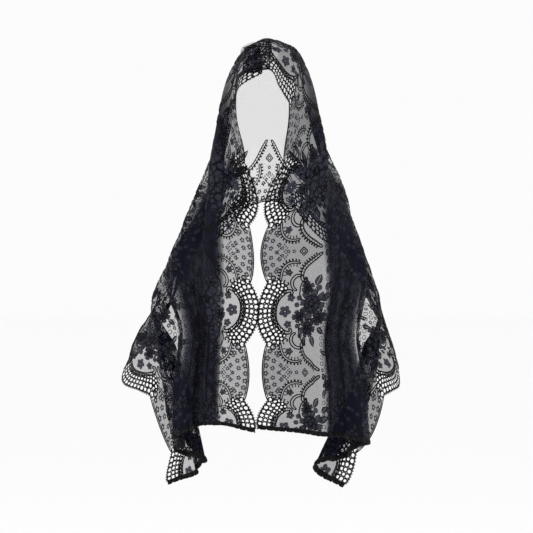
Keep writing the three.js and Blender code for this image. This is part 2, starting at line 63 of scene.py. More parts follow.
# The drape's stations, by their share of half the length. Each has the cloth's five lines from front to
# back, as shares of the hood or the body: across, in depth and in height.
STATIONS = [0, 0.075, 0.15, 0.25, 0.36, 0.495, 0.645, 0.745, 0.87, 1]
HOOD_LINES = [
    [(0, -0.48, -0.295), (0, -0.3, -0.11), (0, 0.2, -0.05), (0, 0.51, -0.5), (0, 0.625, -1.59)],
    [(0.235, -0.45, -0.43), (0.26, -0.26, -0.185), (0.26, 0.19, -0.135), (0.24, 0.49, -0.57),
     (0.28, 0.61, -1.725)],
    [(0.27, -0.42, -0.73), (0.375, -0.19, -0.44), (0.38, 0.14, -0.42), (0.41, 0.42, -0.75),
     (0.54, 0.575, -1.94)],
    [(0.23, -0.44, -1.13), (0.42, -0.24, -0.9), (0.47, 0.08, -0.85), (0.515, 0.36, -1.11),
     (0.79, 0.53, -2.19)],
]
BODY_LINES = [
    [(0.075, -0.333, 0.19), (0.238, -0.3, 0.12), (0.285, -0.1, 0.1), (0.335, 0.15, 0.187),
     (0.47, 0.283, 0.508)],
    [(0.055, -0.393, 0.368), (0.268, -0.427, 0.325), (0.365, -0.247, 0.275), (0.45, 0.067, 0.367),
     (0.575, 0.15, 0.658)],
    [(0.05, -0.487, 0.558), (0.28, -0.5, 0.53), (0.455, -0.373, 0.475), (0.545, -0.14, 0.575),
     (0.708, 0, 0.797)],
    [(0.055, -0.507, 0.686), (0.28, -0.513, 0.668), (0.475, -0.447, 0.642), (0.525, -0.247, 0.733),
     (0.63, -0.18, 0.838)],
    [(0.06, -0.51, 0.846), (0.28, -0.513, 0.84), (0.49, -0.467, 0.833), (0.445, -0.193, 0.927),
     (0.555, -0.153, 1.01)],
    [(0.055, -0.5, 0.99), (0.28, -0.5, 1.0), (0.48, -0.433, 1.022), (0.345, -0.16, 1.113),
     (0.46, -0.1, 1.177)],
]

# How much further out each line lies on the left and on the right, and how much the hem rises there.
LEFT_WIDER = [
    (0, 0.055, 0.07, 0.05, 0.065, 0.11, 0.105, 0.145, 0.145, 0.14),
    (0, -0.01, 0.02, 0.035, 0.02, 0, 0, 0, 0, 0),
    (0, -0.01, 0.005, 0.01, 0, 0, 0.03, 0, 0, 0),
    (0, 0.03, 0, -0.02, -0.06, -0.01, 0.01, 0.01, -0.02, 0),
    (0, 0, 0, 0, 0, 0.01, 0.07, 0.02, -0.07, 0.02),
]
RIGHT_WIDER = [
    (0, -0.095, -0.06, -0.05, -0.075, -0.135, -0.105, -0.13, -0.13, -0.125),
    (0, 0, 0, 0.01, 0.03, 0.02, 0, 0, 0, 0),
    (0, 0, 0.015, 0.045, 0.05, 0.045, 0.02, 0, 0, 0),
    (0, 0, 0, 0.01, 0.01, 0.04, -0.01, -0.02, -0.06, -0.2),
    (0, 0, 0, 0, 0.02, 0.04, -0.1, -0.05, -0.12, -0.26),
]
HEM_RISE = {-1: (0, 0.095, 0, -0.07, 0.02), 1: (0, -0.03, -0.03, -0.1, 0)}
PASS_SHARES = (0, 0, 0, 0, 0, 0.5, 1, 1, 1, 1)

# Where the gathers of each side start and end, as shares of the width, from the crown to the hem.
GATHER_AT = (0, 0.15, 0.36, 0.495, 0.645, 0.745, 0.87, 1)
GATHER_START = {
    -1: (0.3, 0.18, 0.12, 0.105, 0.09, 0.085, 0.085, 0.09),
    1: (0.3, 0.19, 0.165, 0.165, 0.16, 0.165, 0.17, 0.17),
}
GATHER_END = (0.84, 0.8, 0.63, 0.63, 0.73, 0.81, 0.85, 0.85)


def ease(t):
    """From 0 to 1 as t does, with a soft start and a soft end."""
    x = np.clip(t, 0, 1)
    return x * x * (3 - 2 * x)


def swing(share):
    """How far a curve that swings from side to side turns, for the cloth to cover only this share."""
    s = np.clip(1 - share, 0, 1)
    return 2 * np.sqrt(s) * (1 + 0.13 * s + 0.055 * s * s)


def run_along(path):
    """How far along a path each of its points lies."""
    return np.concatenate([[0], np.cumsum(np.linalg.norm(np.diff(path, axis=0), axis=1))])


def curve_through(knots, values, at):
    """A smooth curve through unevenly spaced rows of values."""
    steps = np.diff(knots)[:, None]
    rises = np.diff(values, axis=0) / steps
    inner = (rises[:-1] * steps[1:] + rises[1:] * steps[:-1]) / (steps[:-1] + steps[1:])
    rates = np.vstack([rises[:1], inner, rises[-1:]])
    i = np.clip(np.searchsorted(knots, at, side="left") - 1, 0, len(knots) - 2)
    h = steps[i]
    t = ((at - np.asarray(knots)[i]) / h[:, 0])[:, None]
    before = values[i] * (1 + 2 * t) + rates[i] * h * t
    after = values[i + 1] * (3 - 2 * t) - rates[i + 1] * h * (1 - t)
    return before * (1 - t) ** 2 + after * t ** 2


def side_lines(side):
    """One side's five lines: for each, its point at every station."""
    lines = []
    for n, wider in enumerate(LEFT_WIDER if side < 0 else RIGHT_WIDER):
        points = []
        for k in range(len(STATIONS)):
            hood = k < len(HOOD_LINES)
            across, depth, height = (HOOD_LINES[k] if hood else BODY_LINES[k - len(HOOD_LINES)])[n]
            x = across * (HOOD_WIDTH if hood else SHOULDER_WIDTH) + wider[k] * HOOD_WIDTH
            y = depth * (HOOD_DEPTH if hood else CHEST_DEPTH)
            z = height * HOOD_HEIGHT if hood else -HOOD_HEIGHT - height * FALL
            if n == 0:
                y += side * FRONT_PASS * PASS_SHARES[k]
            if k == len(STATIONS) - 1:
                z += HEM_RISE[side][n] * HOOD_HEIGHT
            points.append((side * x, y, z))
        lines.append(points)
    return lines


# The cloth as a table of points: SECTIONS rows across it, with a point every STEP and MARGIN to spare past
# both edges. First without folds, but as wide as the folds leave it.
SECTIONS, STEP, MARGIN, CROSS_POINTS = 321, 2.0, 40.0, 160
places = np.arange(-MARGIN, WIDTH + MARGIN + 1, STEP)
shares = np.linspace(-1, 1, SECTIONS)
knots = np.array([-s for s in STATIONS[:0:-1]] + STATIONS)
guides = [
    curve_through(knots, np.array(left[:0:-1] + right), shares)
    for left, right in zip(side_lines(-1), side_lines(1))
]
base = np.zeros((SECTIONS, len(places), 3))
covers = np.zeros((SECTIONS, len(places)))
starts = np.zeros(SECTIONS)
for n, share in enumerate(shares):
    points = np.array([g[n] for g in guides])
    chord = run_along(points)
    cross = curve_through(chord, points, np.linspace(0, chord[-1], CROSS_POINTS))
    run = run_along(cross)
    start = np.interp(abs(share), GATHER_AT, GATHER_START[-1 if share < 0 else 1]) * WIDTH
    end = np.interp(abs(share), GATHER_AT, GATHER_END) * WIDTH
    begun = ease((places - start) / FOLD_EASE + 0.5)
    gathered = begun * (1 - ease((places - end) / FOLD_EASE + 0.5))
    loose = LOOSE * ease(2 * places / FOLD_EASE) * ease(2 * (WIDTH - places) / FOLD_EASE)
    weights = np.maximum(gathered, loose)
    cover = 1 - (WIDTH - run[-1]) / (weights.sum() * STEP) * weights
    at = -MARGIN + np.concatenate([[0], np.cumsum((cover[1:] + cover[:-1]) / 2 * STEP)])
    for axis in range(3):
        line = cross[:, axis]
        base[n, :, axis] = (
            np.interp(at, run, line)
            + (line[2] - line[0]) / run[2] * np.minimum(at, 0)
            + (line[-1] - line[-3]) / (run[-1] - run[-3]) * np.maximum(at - run[-1], 0)
        )
    covers[n] = cover
    starts[n] = start

# The folds: each is a swing of the cloth's direction, so no cloth is lost in them. Finer creases, a quarter
# as wide, lie on the main folds below the hood.
FOLD_SWING, CREASE_SWING, CREASES_IN_FOLD = 0.94, 0.4, 4
phase = 2 * math.pi * (places[None] - starts[:, None]) / FOLD + math.pi / 2
crease_swing = CREASE_SWING * ease((np.abs(shares) - 0.22) / 0.14)[:, None]
creases = crease_swing * np.sin(CREASES_IN_FOLD * phase + 3 * shares[:, None] + 1)
turn = swing(covers) * (FOLD_SWING * np.sin(phase) + creases)
first = int(MARGIN / STEP)
level = np.clip((np.arange(len(places)) - first) / (len(places) - 1 - 2 * first), 0, 1)[None]


def without_drift(steps):
    """The running sum of steps along each row, brought back to nothing at both edges of the cloth."""
    total = np.cumsum(steps, axis=1) * STEP
    a, b = total[:, first:first + 1], total[:, -1 - first:len(places) - first]
    return (total - a - (b - a) * level)[..., None]


rows = np.arange(SECTIONS)
columns = np.arange(len(places))
along = base[np.minimum(rows + 1, SECTIONS - 1)] - base[np.maximum(rows - 1, 0)]
across = base[:, np.minimum(columns + 1, len(places) - 1)] - base[:, np.maximum(columns - 1, 0)]
across /= np.linalg.norm(across, axis=2, keepdims=True)
out = np.cross(along, across)
out /= np.linalg.norm(out, axis=2, keepdims=True)
cloth = base + out * without_drift(np.sin(turn)) + across * without_drift(np.cos(turn) - covers)


def cloth_point(share, v):
    """A point of the cloth without its tuck."""
    i = np.clip((share + 1) / 2 * (SECTIONS - 1), 0, SECTIONS - 1)
    j = np.clip((v + MARGIN) / STEP, 0, len(places) - 1)
    i0 = np.minimum(i.astype(int), SECTIONS - 2)
    j0 = np.minimum(j.astype(int), len(places) - 2)
    s, t = (i - i0)[:, None], (j - j0)[:, None]
    near = cloth[i0, j0] * (1 - t) + cloth[i0, j0 + 1] * t
    far = cloth[i0 + 1, j0] * (1 - t) + cloth[i0 + 1, j0 + 1] * t
    return near * (1 - s) + far * s


# The tuck: flat pleats over the crown that lean to the left and fade out towards the back of the hood.
TUCK_STEPS = 64
tuck_step = TUCK / TUCK_STEPS
tuck_wave = np.sin(2 * math.pi * TUCK_PLEATS * (np.arange(TUCK_STEPS) + 0.5) / TUCK_STEPS)


def tuck_angles(v):
    """How far the cloth turns at each step through the tuck, at each v."""
    return swing(1 - TUCK_GATHER * (1 - ease(v / TUCK_RUN)))[:, None] * tuck_wave


tuck_rows = np.arange(-60.0, WIDTH + 61)
tuck_widths = np.cos(tuck_angles(tuck_rows)).sum(axis=1) * tuck_step


def draped(u, v):
    """Where the point (u, v) of the flat cloth lies on the worn veil."""
    half = TUCK / 2
    width = np.interp(v, tuck_rows, tuck_widths)
    reach = HALF - half + width / 2
    inside = np.abs(u) < half
    share = np.sign(u) * (np.abs(u) - half + width / 2) / reach
    angles = tuck_angles(v[inside])
    passed = np.clip((u[inside, None] + half) / tuck_step - np.arange(TUCK_STEPS), 0, 1) * tuck_step
    height = (np.sin(angles) * passed).sum(axis=1)[:, None]
    share[inside] = ((np.cos(angles) * passed).sum(axis=1) - width[inside] / 2) / reach[inside]
    share[inside] -= height[:, 0] * math.sin(TUCK_LEAN) / reach[inside]
    point = cloth_point(share, v)
    s, w = share[inside], v[inside]
    ahead = cloth_point(s + 0.004, w) - cloth_point(s - 0.004, w)
    beside = cloth_point(s, w + STEP) - cloth_point(s, w - STEP)
    normal = np.cross(ahead, beside)
    normal /= np.linalg.norm(normal, axis=1, keepdims=True)
    point[inside] += height * normal * math.cos(TUCK_LEAN)
    return point


def worn(u, v, height=0.0):
    """Points of the worn veil, raised by height from its outer face, all in millimetres."""
    u, v, height = np.broadcast_arrays(np.asarray(u, float), np.asarray(v, float), height)
    u, v, height = u.ravel(), v.ravel(), height.ravel()
    point = draped(u, v)
    ahead = draped(u + 1.5, v) - draped(u - 1.5, v)
    beside = draped(u, v + 1.5) - draped(u, v - 1.5)
    normal = np.cross(ahead, beside)
    normal /= np.maximum(np.linalg.norm(normal, axis=1, keepdims=True), 1e-9)
    return point + normal * height[:, None]


def scallop(u):
    """How far the scalloped edge stands out from its base line at u."""
    period = np.mod(u, PITCH)
    in_net = (period - (PITCH - NET_WIDTH) / 2) / NET_WIDTH
    fine_width = PITCH - NET_WIDTH
    in_fine = np.mod(period + fine_width / 2, PITCH) / fine_width
    deep = NET_DEPTH * np.sin(math.pi * np.clip(in_net, 0, 1)) ** 0.8
    shallow = FINE_DEPTH * np.sin(math.pi * np.clip(in_fine, 0, 1)) ** 0.7
    return np.where((in_net > 0) & (in_net < 1), deep, shallow)


# Where the coarse net ends and the tulle starts: how far inward, at these distances from a deep scallop's
# middle. The tulle ends there, and elsewhere at the scalloped edge itself.
NET_REACH = 76.0
NET_ALONG = [0, 15, 27, 35, 40, 50, 58, 66, 72, NET_REACH]
NET_INWARD = [8.5, 10, 16, 25, 35, 38, 32, 22, 8, -5.6]
EDGE_SHIFT, UNDER_TRIM = 70.0, 3.0


def net_inner(a):
    """How far in the coarse net reaches, at this distance from the deep scallop's middle."""
    return np.interp(np.abs(a), NET_ALONG, NET_INWARD)


# The mesh: rows from each edge to the middle line, which follow the cut edge over the first EDGE_SHIFT, and
# stations along the cloth, closer in the tuck, which end a little under the trims.
edge_rows = np.arange(0, 60, 3.0)
inner_rows = np.arange(60, WIDTH / 2, 2.9)[:-1]
half_rows = np.concatenate([edge_rows, inner_rows, [WIDTH / 2]])
stations = np.concatenate([
    np.linspace(-(HALF - HEM + UNDER_TRIM), -TUCK / 2, 158)[:-1],
    np.linspace(-TUCK / 2, TUCK / 2, TUCK_STEPS + 1),
    np.linspace(TUCK / 2, HALF - HEM + UNDER_TRIM, 158)[1:],
])
from_middle = np.mod(stations, PITCH) - PITCH / 2
boundary = np.where(np.abs(from_middle) < NET_REACH, net_inner(from_middle) + 1.5, -scallop(stations))
start_v = half_rows[None] + boundary[:, None] * np.clip(1 - half_rows / EDGE_SHIFT, 0, 1)[None] ** 1.3
flat_v = np.concatenate([start_v, WIDTH - start_v[:, -2::-1]], axis=1)
flat_u = np.repeat(stations[:, None], flat_v.shape[1], axis=1)
along_count, across_count = flat_v.shape
near = (np.arange(along_count - 1)[:, None] * across_count + np.arange(across_count - 1)[None]).ravel()
far = near + across_count
ground_faces = np.stack([near, far, far + 1, near + 1], axis=1)
ground_points = np.column_stack([flat_u.ravel(), flat_v.ravel(), np.zeros(flat_u.size)])

# How close the net lies, as the share of its pitch that its threads take. It is closer in the dotted fields
# between the scrolls, and lighter in the medallions, over the hood's back and in the tuck. In the gathers
# many folds lie behind each other, and it is much closer there, with soft upright streaks of painted fold
# shade. On the right side, off the middle field, it is a little closer as painted shade of that side.
OPEN_SHARE, DOTTED_MORE, MEDALLION_LESS, PAINTED_SHADE_MORE = 0.31, 0.04, 0.03, 0.08
PLAIN_LESS, TUCKED_LESS = 0.17, 0.2
DOTTED_IN = [-12, 20, 33, 42, 55, 72, 86, 99, 118, 120]
DOTTED_REACH = [62, 58, 38, 28, 24, 44, 28, 18, 3, -20]
CLOSE_AT = (0, 0.1, 0.2, 0.3, 0.36, 0.495, 0.645, 0.745, 0.87, 1)
CLOSE_START = {
    -1: (0.34, 0.3, 0.26, 0.18, 0.15, 0.13, 0.12, 0.12, 0.12, 0.12),
    1: (0.34, 0.28, 0.25, 0.23, 0.235, 0.245, 0.26, 0.27, 0.27, 0.27),
}
CLOSE_END = {
    -1: (0.4, 0.34, 0.3, 0.3, 0.32, 0.36, 0.38, 0.4, 0.42, 0.45),
    1: (0.4, 0.34, 0.34, 0.36, 0.4, 0.45, 0.47, 0.48, 0.5, 0.5),
}
CLOSE_SHARE = (0.0, 0.08, 0.26, 0.46, 0.58, 0.62, 0.64, 0.64, 0.64, 0.64)
BEYOND, LAST_CLOSE = 0.05, 0.8


def gathered_share(u, v):
    """Whether (u, v) lies in the gathers, from 0 to 1, and how much closer the cloth lies there, with painted
    fold shade.
    """
    share, across = np.abs(u) / HALF, v / WIDTH
    start, end = [
        np.where(u < 0, np.interp(share, CLOSE_AT, limits[-1]), np.interp(share, CLOSE_AT, limits[1]))
        for limits in (CLOSE_START, CLOSE_END)
    ]
    begun = ease((across - start) / 0.05 + 0.5)
    band = begun * (1 - ease((across - end) / 0.08 + 0.5))
    beyond = begun * (1 - ease((across - LAST_CLOSE) / 0.1 + 0.5)) - band
    # Painted shade of the folds: soft upright streaks where the net is a little closer or more open.
    painted_fold_shade = 0.93 + 0.05 * np.sin(v / 6.1 + u / 90) + 0.03 * np.sin(v / 2.7 - u / 130)
    return band + BEYOND * beyond, painted_fold_shade * np.interp(share, CLOSE_AT, CLOSE_SHARE)


def net_closeness_and_shade(u, v):
    """The share of its pitch that the net's threads take at (u, v), with painted shade on the right and in
    the gathers.
    """
    inward = np.minimum(v, WIDTH - v)
    from_medallion = np.abs(np.mod(u, PITCH) - PITCH / 2)
    from_line = PITCH / 2 - from_medallion
    dotted = ease((np.interp(inward, DOTTED_IN, DOTTED_REACH) - from_line) / 6 + 0.5)
    medallion = ease((48 - from_medallion) / 8) * ease((78 - inward) / 10)
    worked_over = 1 - 0.4 * ease((np.abs(u) / HALF - 0.3) / 0.15)
    plain = PLAIN_LESS * ease((inward - 110) / 40) * worked_over
    tucked = TUCKED_LESS * ease((TUCK / 2 + 4 - np.abs(u)) / 8)
    # Painted shade: the net is a little closer on the right side, off the middle field, as that side lies in
    # shade.
    painted_shade = PAINTED_SHADE_MORE * ease((u / HALF - 0.02) / 0.1) * (1 - ease((inward - 120) / 40))
    gathered, closer_with_fold_shade = gathered_share(u, v)
    lighter = (1 - gathered) * np.maximum(plain, tucked) + MEDALLION_LESS * medallion
    return OPEN_SHARE + DOTTED_MORE * dotted + painted_shade + gathered * closer_with_fold_shade - lighter


def colour(code):
    """A colour as it looks on a screen, turned to light."""
    parts = [int(code[k:k + 2], 16) / 255 for k in (1, 3, 5)]
    return tuple(c / 12.92 if c <= 0.04045 else ((c + 0.055) / 1.055) ** 2.4 for c in parts) + (1.0,)


def add(tree, kind, values, **settings):
    """One node with its settings. A value goes to its socket, and a socket given as a value is linked."""
    made = tree.nodes.new(kind)
    for key, value in settings.items():
        setattr(made, key, value)
    for key, value in values.items():
        if isinstance(value, bpy.types.NodeSocket):
            tree.links.new(value, made.inputs[key])
        else:
            made.inputs[key].default_value = value
    return made


def new_material(name, values):
    """A material, its node tree and its shader, whose own sockets take what is the same all over."""
    material = bpy.data.materials.new(name)
    material.use_nodes = True
    shader = material.node_tree.nodes["Principled BSDF"]
    for key, value in values.items():
        shader.inputs[key].default_value = value
    return material, material.node_tree, shader


def cloth_place(tree, per_metre):
    """The flat cloth's own place, in metres times per_metre."""
    uv = add(tree, "ShaderNodeUVMap", {}, uv_map="flat_cloth").outputs[0]
    scales = (per_metre, per_metre, per_metre)
    return add(tree, "ShaderNodeVectorMath", {0: uv, 1: scales}, operation="MULTIPLY").outputs[0]


def slanted_net(tree, pitch, thread):
    """1 on the threads of a slanted net of this pitch in millimetres, whose threads take this share."""
    place = add(tree, "ShaderNodeSeparateXYZ", {0: cloth_place(tree, 1000 / pitch)})
    x, y = place.outputs[0], place.outputs[1]
    half_thread = add(tree, "ShaderNodeMath", {0: thread, 1: 0.5}, operation="MULTIPLY").outputs[0]
    other_y = add(tree, "ShaderNodeMath", {0: y, 1: -1.0}, operation="MULTIPLY").outputs[0]
    lines = []
    for a, b in ((x, y), (x, other_y)):
        slant = add(tree, "ShaderNodeMath", {0: b, 1: 0.6, 2: a}, operation="MULTIPLY_ADD").outputs[0]
        wave = add(tree, "ShaderNodeMath", {0: slant}, operation="FRACT").outputs[0]
        on_thread = {0: wave, 1: 0.5, 2: half_thread}
        lines.append(add(tree, "ShaderNodeMath", on_thread, operation="COMPARE").outputs[0])
    return add(tree, "ShaderNodeMath", {0: lines[0], 1: lines[1]}, operation="MAXIMUM").outputs[0]


# Nylon tulle, knitted and soft: the eye sees a dull blue-black haze that lets light through between its
# threads, with a slow drift of tone over about 33 mm. Its real mesh of 1 mm is too fine to show, so it is
# drawn as a slanted net of 1.9 mm. Only a part of each thread's dark is drawn sharp, and the rest is the
# net's mean, as it looks from a distance.
TULLE_PITCH, TULLE_SHARPNESS = 1.9, 0.4
tulle, tree, shader = new_material("knitted_nylon_tulle", {
    "Roughness": 0.7, "IOR": 1.53, "Specular IOR Level": 0.05, "Sheen Weight": 0.02,
})
# The net's closeness from the mesh, which carries painted shade on the right side and in the gathers'
# streaks.
thread = add(tree, "ShaderNodeAttribute", {}, attribute_name="net_closeness_and_shade").outputs["Fac"]
sharp = slanted_net(tree, TULLE_PITCH, thread)
gap = add(tree, "ShaderNodeMath", {0: 1.0, 1: thread}, operation="SUBTRACT").outputs[0]
opening = add(tree, "ShaderNodeMath", {0: gap, 1: gap}, operation="MULTIPLY").outputs[0]
mean = add(tree, "ShaderNodeMath", {0: 1.0, 1: opening}, operation="SUBTRACT").outputs[0]
rest = add(tree, "ShaderNodeMath", {0: mean, 1: 1 - TULLE_SHARPNESS}, operation="MULTIPLY").outputs[0]
seen = add(tree, "ShaderNodeMath", {0: sharp, 1: TULLE_SHARPNESS, 2: rest}, operation="MULTIPLY_ADD")
tree.links.new(seen.outputs[0], shader.inputs["Alpha"])
patches = {"Vector": cloth_place(tree, 1000.0), "Scale": 0.03, "Detail": 4.0}
drift = add(tree, "ShaderNodeTexNoise", patches).outputs[0]
tones = {0: drift, 6: colour("#06070f"), 7: colour("#0f1224")}
tone = add(tree, "ShaderNodeMix", tones, data_type="RGBA").outputs[2]
tree.links.new(tone, shader.inputs["Base Color"])


def make_piece(name, points, faces, material, node=None):
    """A mesh on the worn cloth from flat points (u, v, height), with flat metres as its UV map."""
    mesh = bpy.data.meshes.new(name)
    place = worn(points[:, 0], points[:, 1], points[:, 2]) / 1000
    polygons = []
    for f in faces.tolist():
        corners = [f[0]] + [f[k] for k in (1, 2, 3) if f[k] != f[k - 1]]
        if corners[0] == corners[-1]:
            corners.pop()
        polygons.append(corners)
    mesh.from_pydata(place.tolist(), [], polygons)
    loops = np.zeros(len(mesh.loops), dtype=np.int32)
    mesh.loops.foreach_get("vertex_index", loops)
    flat = mesh.uv_layers.new(name="flat_cloth")
    flat.data.foreach_set("uv", (points[loops, :2] / 1000).ravel())
    mesh.polygons.foreach_set("use_smooth", [True] * len(mesh.polygons))
    mesh.materials.append(material)
    mesh.update()
    piece = bpy.data.objects.new(name, mesh)
    bpy.context.scene.collection.objects.link(piece)
    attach(piece, "root")
    if node:
        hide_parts(node)
    return piece


ground = make_piece("tulle_ground", ground_points, ground_faces, tulle, "lace_panel")
attribute = ground.data.attributes.new("net_closeness_and_shade", "FLOAT", "POINT")
attribute.data.foreach_set("value", net_closeness_and_shade(ground_points[:, 0], ground_points[:, 1]))

# The coarse net fills the deep scallops of both long edges: round open cells of twisted black thread, in
# rows that follow the edge and grow smaller further in, with small pointed picots along the very edge. It is
# worked in one with the tulle.

# The lace's repeats, by the middle of each deep scallop, and the net's rows: (distance from the edge, cell
# size). Threads are drawn fuller than their chart says, as the worked ones look.
REPEATS = (-875, -625, -375, -125, 125, 375, 625, 875)
CELL_ROWS = (
    (5, 10.8), (14.6, 10.2), (23.2, 9), (31, 8), (38, 7.2), (44.4, 6.8), (50.6, 6.6), (56.6, 6.6),
)
THREAD_FULLNESS = 1.9
PICOT_SPACING, PICOT_WIDTH, PICOT_REACH = 6.4, 5.2, 3.4


class Chart:
    """Flat shapes of one repeat. A point is (along from its middle, inward from the base line, height)."""

    def __init__(self):
        self.points, self.faces, self.count = [], [], 0

    def draw(self, points, faces):
        self.points.append(np.asarray(points, float))
        self.faces.append(np.asarray(faces) + self.count)
        self.count += len(points)


def smooth_path(points, step, closed=False):
    """A smooth flat path through a few points, with a point about every step millimetres."""
    p = np.asarray(points, float)
    if closed:
        p = np.vstack([p, p[:1]])
    length = run_along(p)
    count = max(int(round(length[-1] / step)), 2)
    if not closed:
        return curve_through(length, p, np.linspace(0, length[-1], count + 1))
    wide = np.vstack([p[-3:-1], p, p[1:3]])
    lengths = np.concatenate([length[-3:-1] - length[-1], length, length[1:3] + length[-1]])
    return curve_through(lengths, wide, np.linspace(0, length[-1], count + 1)[:-1])


def sides_of(path, closed=False):
    """The flat direction to the left of a path at each of its points."""
    if closed:
        way = np.roll(path, -1, axis=0) - np.roll(path, 1, axis=0)
    else:
        way = np.gradient(path, axis=0)
    way /= np.maximum(np.linalg.norm(way, axis=1, keepdims=True), 1e-9)
    return np.stack([-way[:, 1], way[:, 0]], axis=1)


def at_length(s, length, values):
    """The flat point or direction at the distance s along a path."""
    return np.array([np.interp(s, length, values[:, c]) for c in (0, 1)])


def turned(start, turn, x, y):
    """Flat points at x ahead and y to the left of start, where ahead is the direction turn."""
    c, s = math.cos(turn), math.sin(turn)
    return np.stack([start[0] + c * x - s * y, start[1] + s * x + c * y], axis=1)


def cord(chart, path, width, height, closed=False):
    """A raised thread along a flat path: a low ridge, wide at its foot."""
    side = sides_of(path, closed) * width * THREAD_FULLNESS / 2
    rows = []
    for across, up in ((1, 0.1), (0.55, height), (-0.55, height), (-1, 0.1)):
        rows.append(np.column_stack([path + side * across, np.full(len(path), up)]))
    points = np.stack(rows, axis=1).reshape(-1, 3)
    n = len(path)
    k = np.arange(n if closed else n - 1)
    m = (k + 1) % n
    faces = [np.stack([4 * k + c, 4 * k + c + 1, 4 * m + c + 1, 4 * m + c], axis=1) for c in range(3)]
    chart.draw(points, np.vstack(faces))


def ring(chart, centre, radius, sides, width, height, turn=0.0):
    """A small round of thread."""
    a = np.arange(sides) * 2 * math.pi / sides + turn
    path = np.stack([centre[0] + radius * np.cos(a), centre[1] + radius * np.sin(a)], axis=1)
    cord(chart, path, width, height, closed=True)


net = Chart()
net_edge = smooth_path(
    [(a, -scallop(a + PITCH / 2)) for a in np.linspace(-NET_REACH, NET_REACH, 39)], 2.0)
for n, (depth, size) in enumerate(CELL_ROWS):
    row = net_edge + sides_of(net_edge) * depth
    length = run_along(row)
    count = int(length[-1] / size)
    for k in range(count + 1):
        s = length[-1] / 2 + (k - count / 2 + 0.5 * (n % 2)) * size
        if s < 0 or s > length[-1]:
            continue
        centre = at_length(s, length, row)
        if centre[1] > net_inner(centre[0]) + size * 0.3 or abs(centre[0]) > NET_REACH - 2:
            continue
        uneven = 0.97 + 0.08 * math.sin(2.3 * k + depth)
        ring(net, centre, size / 2 * uneven, sides=9, width=1.6, height=0.7, turn=0.3 * k)
deep_edge = net_edge[np.abs(net_edge[:, 0]) < NET_WIDTH / 2 + 2]
length = run_along(deep_edge)
for s in np.arange(PICOT_SPACING / 2, length[-1], PICOT_SPACING):
    foot = at_length(s, length, deep_edge)
    away = at_length(s, length, -sides_of(deep_edge))
    beside = np.array([-away[1], away[0]]) * PICOT_WIDTH / 2
    picot = np.array([foot - beside, foot + away * PICOT_REACH, foot + beside])
    cord(net, picot, width=1.1, height=0.6)


def laid_out(chart, centres, both_edges=True):
    """A chart laid at each centre along one or both edges, and cut off where the hem trims start."""
    drawn, drawn_faces = np.vstack(chart.points), np.vstack(chart.faces)
    all_points, all_faces, count = [], [], 0
    for centre in centres:
        way = -1 if centre > 0 else 1
        for back in ((False, True) if both_edges else (False,)):
            u = centre + way * drawn[:, 0]
            v = WIDTH - drawn[:, 1] if back else drawn[:, 1]
            f = drawn_faces[:, ::-1] if (way < 0) != back else drawn_faces
            f = f[(np.abs(u)[f] < HALF - HEM).all(axis=1)]
            kept, f = np.unique(f, return_inverse=True)
            all_points.append(np.column_stack([u, v, drawn[:, 2]])[kept])
            all_faces.append(f.reshape(-1, 4) + count)
            count += len(kept)
    return np.vstack(all_points), np.vstack(all_faces)


def front_and_back(name, charts, material, nodes=(None, None)):
    """Two pieces from charts and their centres: one on the front half of the cloth, one on the back."""
    all_points, all_faces, count = [], [], 0
    for chart in charts:
        points, faces = laid_out(*chart)
        all_points.append(points)
        all_faces.append(faces + count)
        count += len(points)
    points, faces = np.vstack(all_points), np.vstack(all_faces)
    on_back = points[faces[:, 0], 1] >= WIDTH / 2
    for end, chosen, node in (("_front", ~on_back, nodes[0]), ("_back", on_back, nodes[1])):
        kept, half_faces = np.unique(faces[chosen], return_inverse=True)
        make_piece(name + end, points[kept], half_faces.reshape(-1, 4), material, node)


# The spacing in millimetres, along or across the cloth, of the ridges that show a thread's twist. A wave
# texture's diagonal bands lie 2 pi / 10 apart along each axis at a scale of 1.
TWIST = 1.795


def thread_material(name, light, dark, roughness, sheen):
    """Twisted black thread: fine slanted ridges, and a drift of tone over about 20 mm."""
    material, tree, shader = new_material(name, {
        "Roughness": roughness, "IOR": 1.53, "Specular IOR Level": 0.08,
        "Sheen Weight": sheen, "Sheen Roughness": 0.5,
    })
    place = cloth_place(tree, 1000.0)
    drift = add(tree, "ShaderNodeTexNoise", {"Vector": place, "Scale": 1 / 20, "Detail": 3.0}).outputs[0]
    tones = {0: drift, 6: colour(dark), 7: colour(light)}
    tone = add(tree, "ShaderNodeMix", tones, data_type="RGBA").outputs[2]
    tree.links.new(tone, shader.inputs["Base Color"])
    waves = {"Vector": place, "Scale": 2 * math.pi / (10 * TWIST), "Distortion": 1.5, "Detail": 1.0}
    twist = add(tree, "ShaderNodeTexWave", waves, bands_direction="DIAGONAL").outputs[1]
    ridges = {"Strength": 0.5, "Distance": 0.0004, "Height": twist}
    tree.links.new(add(tree, "ShaderNodeBump", ridges).outputs[0], shader.inputs["Normal"])
    return material


# Twisted cotton thread, dyed black: matt, a touch lighter than the outlines. Its real twist of 0.4 mm is too
# fine to show, so the ridges are drawn 1.8 mm apart.
net_thread = thread_material("twisted_cotton_thread", "#0b0b10", "#050507", roughness=0.65, sheen=0.02)
front_and_back(
    "coarse_net", [(net, REPEATS)], net_thread, ("front_scallop_edging", "back_scallop_edging"))

# The worked flowers are filled shapes of close slanted stitches on the tulle, edged with a fine thread:
# full roses with leaves and small open flowers in each medallion, daisies and chequers between them, and
# loose roses over the field below the hood.
LINES_BETWEEN = (-750, -500, -250, 0, 250, 500, 750)
FIELD_REPEATS = (-875, -625, -375, 375, 625, 875)
EDGING_THREAD = 0.9


class Repeat:
    """One repeat of the lace: its flowers, the threads on them, and where along the cloth it is laid."""

    def __init__(self, centres, both_edges=True):
        self.flowers, self.threads = Chart(), Chart()
        self.centres, self.both_edges = centres, both_edges


